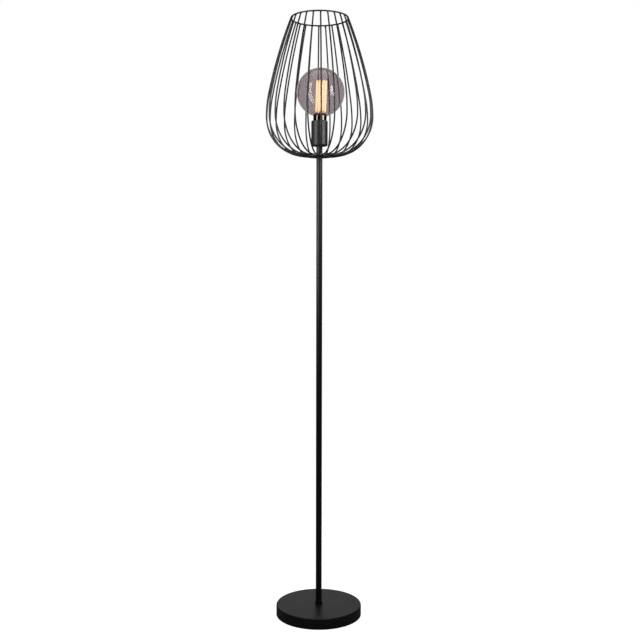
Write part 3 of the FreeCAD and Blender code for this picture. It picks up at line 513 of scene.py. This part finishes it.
def makeFilamentLook(low):
    # emission turns from red to warm white over the first stretch above the lower end
    look, tree, shader, out, place = newLook("glowing_filament")
    height = addNode(tree, "ShaderNodeSeparateXYZ", {0: place}).outputs[2]
    rise = addNode(tree, "ShaderNodeMapRange", {
        "Value": height, "From Min": low, "From Max": low + filamentSet["fade"]},
        interpolation_type="SMOOTHSTEP").outputs[0]
    grain = addNode(tree, "ShaderNodeTexNoise", {
        "Vector": place, "Scale": 900.0, "Detail": 2.0}).outputs[0]
    chips = addNode(tree, "ShaderNodeMapRange", {
        "Value": grain, "From Min": 0.3, "From Max": 0.7, "To Min": 0.88, "To Max": 1.06})
    colour = mixColours(tree, rise, (*filamentSet["red"], 1), (*filamentSet["warm"], 1))
    bright = addNode(tree, "ShaderNodeVectorMath", {0: colour, 3: chips.outputs[0]},
                     operation="SCALE").outputs[0]
    shader.inputs["Base Color"].default_value = (0.95, 0.6, 0.22, 1)
    shader.inputs["Roughness"].default_value = 0.5
    shader.inputs["Emission Strength"].default_value = 1.0
    tree.links.new(bright, shader.inputs["Emission Color"])
    return look


bulbLow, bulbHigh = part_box("bulb_filaments")
coreLook = makeCoreLook()
filamentLook = makeFilamentLook(bulbLow[2])

ribNames = sorted(name for name in nodes if name.startswith("rib_"))
dress(powderCoat, "base_cover", "foot_collar", "lower_pole", "middle_pole", "upper_pole",
      "hub_plate", "top_ring", "neck_tube", *ribNames)
dress(foam, "foot_pad")
dress(rubber, "cord_grommet")
dress(castIron, "base_weight")
dress(zinc, "base_nipple", "base_clamp", "pole_inserts", "pole_nipples", "top_nipple")
dress(blackMoulding, "holder_cap", "holder_body")
dress(brass, "holder_screw_shell", "centre_contact", "terminal_screws")
dress(sheath, "internal_lead")
dress(coreLook, "core_wires")
dress(blockPlastic, "terminal_block")
dress(capMetal, "bulb_cap", "bulb_end_contact")
dress(blackGlass, "cap_insulator")
dress(board, "driver_board")
print("looks made")


# socket cover: drawn cup with a rounded rim

coverSet = {"wall": 0.0012, "footBend": 0.0035, "rimBend": 0.002, "lip": 0.0011,
            "lipBend": 0.0005, "lipDrop": 0.0024, "hole": 0.0051}


def makeCover():
    low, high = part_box("socket_cover")
    radius = high[0]
    inner = radius - coverSet["wall"]
    floor = low[2] + coverSet["wall"]
    outline = roundedOutline([
        (coverSet["hole"], low[2], 0),
        (radius, low[2], coverSet["footBend"]),
        (radius, high[2], coverSet["rimBend"]),
        (inner - coverSet["lip"], high[2], coverSet["lipBend"]),
        (inner - coverSet["lip"], high[2] - coverSet["lipDrop"], coverSet["lipBend"]),
        (inner, high[2] - coverSet["lipDrop"], coverSet["lipBend"]),
        (inner, floor, coverSet["footBend"] - coverSet["wall"]),
        (coverSet["hole"], floor, 0),
    ])
    addPiece("cover_cup", lathe(outline, 128), powderCoat, "lamp",
             ["socket_cover"])


# bulb: globe, collar, stem, filaments and their wires

bulbSet = {
    "wall": 0.001,  # glass
    "neckGap": 0.0011,  # collar's outside to the glass neck
    "collarPlay": 0.0001,  # between the collar's two walls at the lip
    "collarFoot": 0.0154,
    "collarTaper": 0.005,
    "collarBore": 0.01317,
    "collarFloor": 0.0016,
    "lip": 0.00045,  # rolled edge of the collar
    "stemFoot": 0.005,
    "stemRod": 0.0022,
    "flareHeight": 0.022,
    "flarePower": 2.2,  # how sharply the flare narrows
    "flareEdge": 0.0005,
    "waist": 0.012,  # height over which the foot narrows to the rod
    "filamentCircle": 0.0124,
    "filament": 0.0023,
    "filaments": 8,
    "filamentTurn": 3.0,  # degrees past the half step
    "spoke": 0.0004,
    "spokeTip": 0.0002,
    "sleeve": 0.0007,
    "lean": 1.3,  # degrees that the bulb sits askew, top to the right
    "leanFrom": 1.262,
    "stemLean": 0.47,  # more, for the stem in the globe
    "stemLeanFrom": 1.147,
    # the black cup in the neck, painted shade standing in for the shade inside the bulb's neck
    "shadeCupRadius": 0.0163,
    "shadeCupLow": 1.324,
    "shadeCupHigh": 1.3273,
    "shadeCupBore": 0.0058,
    "shadeCupWall": 0.0006,
    "shadeCupBend": 0.00027,
    "ferrule": 0.0012,
    "ferruleLength": 0.0025,
    "ferruleShown": 0.0015,  # of that, what stands clear of the rod
}


def tipped(shape, inner=False):
    # a piece of the bulb with the bulb's lean, and with the stem's too where it stands on it
    points, faces = shape
    if inner:
        points = leaned(points, bulbSet["stemLean"], bulbSet["stemLeanFrom"])
    return leaned(points, bulbSet["lean"], bulbSet["leanFrom"]), faces


def makeGlobe():
    # outside: neck wall, then the circle r = R sin t, z = centre - R cos t; the same inside
    low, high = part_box("bulb_glass")
    radius = high[0]
    centre = high[2] - radius
    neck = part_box("bulb_collar")[1][0] - bulbSet["neckGap"]
    walls = []
    for shrink in (0.0, bulbSet["wall"]):
        sphere = radius - shrink
        first = math.asin((neck - shrink) / sphere)
        angle = np.linspace(first, math.pi, 72)
        arc = np.stack([sphere * np.sin(angle), centre - sphere * np.cos(angle)], axis=-1)
        arc[-1, 0] = 0.0
        throat = np.linspace(low[2] + bulbSet["wall"] * 0.5, arc[0, 1], 8)[:-1]
        stretch = np.stack([np.full_like(throat, neck - shrink), throat], axis=-1)
        walls.append(np.concatenate([stretch, arc]))
    outline = np.concatenate([walls[0], walls[1][::-1],
                              [[neck - bulbSet["wall"] / 2, low[2]]]])
    addPiece("globe", tipped(lathe(outline, 144)), smokedGlass, "bulb",
             ["bulb_glass"])


def makeCollar():
    low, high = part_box("bulb_collar")
    radius = high[0]
    lip = bulbSet["lip"]
    inner = radius - 2 * lip - bulbSet["collarPlay"]
    foot = low[2]
    outline = roundedOutline([
        (bulbSet["collarBore"], foot, 0),
        (bulbSet["collarFoot"], foot, lip),
        (radius, foot + bulbSet["collarTaper"], lip * 3),
        (radius, high[2], lip),
        (inner, high[2], lip * 0.9),
        (inner, foot + bulbSet["collarTaper"] + bulbSet["collarFloor"], lip),
        (bulbSet["collarFoot"] - 2 * lip, foot + bulbSet["collarFloor"], lip / 2),
        (bulbSet["collarBore"], foot + bulbSet["collarFloor"], 0),
    ])
    addPiece("collar_sleeve", tipped(lathe(outline, 128)), collarMetal, "bulb",
             ["bulb_collar"])


def makeShadeCup():
    # shallow black cup round the stem, which hides the cap from above: painted shade, a dark piece
    # put where the bulb's neck has only shade, seen through the glass as a dark band above the collar
    bend = bulbSet["shadeCupBend"]
    radius, wall = bulbSet["shadeCupRadius"], bulbSet["shadeCupWall"]
    low, high = bulbSet["shadeCupLow"], bulbSet["shadeCupHigh"]
    outline = roundedOutline([
        (bulbSet["shadeCupBore"], low, 0),
        (radius, low, bend),
        (radius, high, bend),
        (radius - wall, high, bend),
        (radius - wall, low + wall, bend),
        (bulbSet["shadeCupBore"], low + wall, 0),
    ])
    addPiece("neck_shade_cup", tipped(lathe(outline, 96)), blackGlass, "bulb")


def makeStem():
    # flare: r = foot + (neck - foot) (1 - s)^power; waist: from foot to rod as a half cosine
    low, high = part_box("bulb_stem")
    neck = high[0]
    foot, rod = bulbSet["stemFoot"], bulbSet["stemRod"]
    flareFoot = low[2] + bulbSet["flareEdge"]
    flareTop = low[2] + bulbSet["flareHeight"]
    shoulder = bulbLow[2] + bulbSet["filament"]
    s = np.linspace(0, 1, 24)
    flare = np.stack([foot + (neck - foot) * (1 - s) ** bulbSet["flarePower"],
                      flareFoot + (flareTop - flareFoot) * s], axis=-1)
    waist = np.stack([rod + (foot - rod) * (1 + np.cos(s * math.pi)) / 2,
                      shoulder + bulbSet["waist"] * s], axis=-1)
    rodTop = high[2] - rod
    dome = np.stack([rod * np.cos(s * math.pi / 2), rodTop + rod * np.sin(s * math.pi / 2)],
                    axis=-1)
    dome[-1, 0] = 0.0
    bottom = [[0.0, low[2]], [neck - bulbSet["flareEdge"], low[2]]]
    outline = np.concatenate([bottom, flare, waist, dome])
    addPiece("stem", tipped(lathe(outline, 48), inner=True), stemGlass, "bulb",
             ["bulb_stem"])


def capsule(radius, low, high, steps=6):
    # an upright rod whose ends are flattened half balls: r sin t, rise (1 - cos t)
    t = np.linspace(0, math.pi / 2, steps)
    rise = radius * 0.6
    bottom = np.stack([radius * np.sin(t), low + rise * (1 - np.cos(t))], axis=-1)
    top = np.stack([radius * np.cos(t), high - rise * (1 - np.sin(t))], axis=-1)
    middle = np.linspace(low + rise, high - rise, 8)[1:-1]
    side = np.stack([np.full_like(middle, radius), middle], axis=-1)
    outline = np.concatenate([bottom, side, top])
    outline[0, 0] = 0.0
    outline[-1, 0] = 0.0
    return outline


def aroundStem(shape):
    # one copy for each filament, half a step and a little more from +X
    points, faces = shape
    count = bulbSet["filaments"]
    extra = math.radians(bulbSet["filamentTurn"])
    return tipped(joined([(turned(points, 2 * math.pi * (n + 0.5) / count + extra), faces)
                          for n in range(count)]), inner=True)


def makeFilaments():
    low, high = bulbLow[2], bulbHigh[2]
    end, shown = bulbSet["ferruleLength"], bulbSet["ferruleShown"]
    rod, rodFaces = lathe(capsule(bulbSet["filament"], low + shown, high - shown), 24)
    aside = np.array([bulbSet["filamentCircle"], 0, 0])
    addPiece("filament_rods", aroundStem((rod + aside, rodFaces)), filamentLook, "bulb",
             ["bulb_filaments"])
    ends = []
    for bottom, top in ((low, low + end), (high - end, high)):
        points, faces = lathe(capsule(bulbSet["ferrule"], bottom, top, 4), 16)
        ends.append((points + aside, faces))
    addPiece("filament_ferrules", aroundStem(joined(ends)), wireMetal, "bulb")


def makeWheels():
    # spokes from a sleeve on the stem to each filament, below and above
    low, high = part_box("filament_carriers")
    spoke = bulbSet["spoke"]
    first, last, tip = bulbSet["stemRod"], bulbSet["filamentCircle"], bulbSet["spokeTip"]
    reach = np.array([first, first + tip, (first + last) / 2, last - tip, last])
    radii = spoke * np.array([0, 1, 1, 1, 0])  # both ends close in a point
    spokes, sleeves = [], []
    for level, hub in ((low[2] + spoke, bulbSet["stemFoot"]),
                       (high[2] - spoke, bulbSet["stemRod"])):
        path = np.stack([reach, np.zeros_like(reach), np.full_like(reach, level)], axis=-1)
        spokes.append(tube(path, radii, np.array([0, 1.0, 0]), 10))
        outer = hub + bulbSet["sleeve"]
        sleeves.append(lathe(roundedOutline([
            (hub, level - 2 * spoke, 0), (outer, level - 2 * spoke, spoke / 2),
            (outer, level + 2 * spoke, spoke / 2), (hub, level + 2 * spoke, 0)]), 32))
    wheels = joined([aroundStem(joined(spokes)), tipped(joined(sleeves), inner=True)])
    addPiece("carrier_wheels", wheels, wireMetal, "bulb", ["filament_carriers"])


makeCover()
makeGlobe()
makeCollar()
makeShadeCup()
makeStem()
makeFilaments()
makeWheels()


# weld beads between wires, ring and plate

weldSet = {"ring": (0.0031, 0.0025, 0.0023), "plate": (0.0042, 0.0031, 0.0014),
           "plateMiddle": 0.0305, "fromRing": 0.0018,
           "feelFrom": 0.012, "feelTo": 0.022}  # stretch of a rib that gives its slope


def bead(centre, axes, sizes, rows=10, turns=16):
    # an ellipsoid: centre + a sin u cos v + b sin u sin v + c cos u
    u, v = np.meshgrid(np.linspace(0, math.pi, rows), np.arange(turns) * 2 * math.pi / turns,
                       indexing="ij")
    local = np.stack([np.sin(u) * np.cos(v), np.sin(u) * np.sin(v), np.cos(u)], axis=-1)
    local[[0, -1], :, :2] = 0.0
    points = centre + (local * sizes) @ np.array(axes)
    return points.reshape(-1, 3), gridFaces(rows, turns, False, True)


def makeWelds():
    low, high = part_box("top_ring")
    wire = (high[2] - low[2]) / 2
    ring = np.array([high[0] - wire, 0, high[2] - wire])
    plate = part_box("hub_plate")[1][2]
    mesh = nodes["rib_01"].data
    points = np.empty(len(mesh.vertices) * 3)
    mesh.vertices.foreach_get("co", points)
    points = points.reshape(-1, 3)
    points = turned(points, math.pi / 2)  # rib_01 is at the front, -Y, and is turned to +X here
    drop = ring[2] - points[:, 2]
    near = points[(drop < weldSet["feelTo"]) & (drop > weldSet["feelFrom"])]
    down = unit(near.mean(axis=0) * (1, 0, 1) - ring)
    across = np.array([0.0, 1.0, 0.0])
    atRing = bead(ring + down * weldSet["fromRing"], (across, down, np.cross(across, down)),
                  weldSet["ring"])
    atPlate = bead(np.array([weldSet["plateMiddle"], 0, plate]), np.eye(3), weldSet["plate"])
    pair, faces = joined([atRing, atPlate])
    count = len(ribNames)
    addPiece("weld_beads", joined([(turned(pair, 2 * math.pi * n / count - math.pi / 2), faces)
                                   for n in range(count)]),
             powderCoat, "lamp")


makeWelds()


print("scene done")
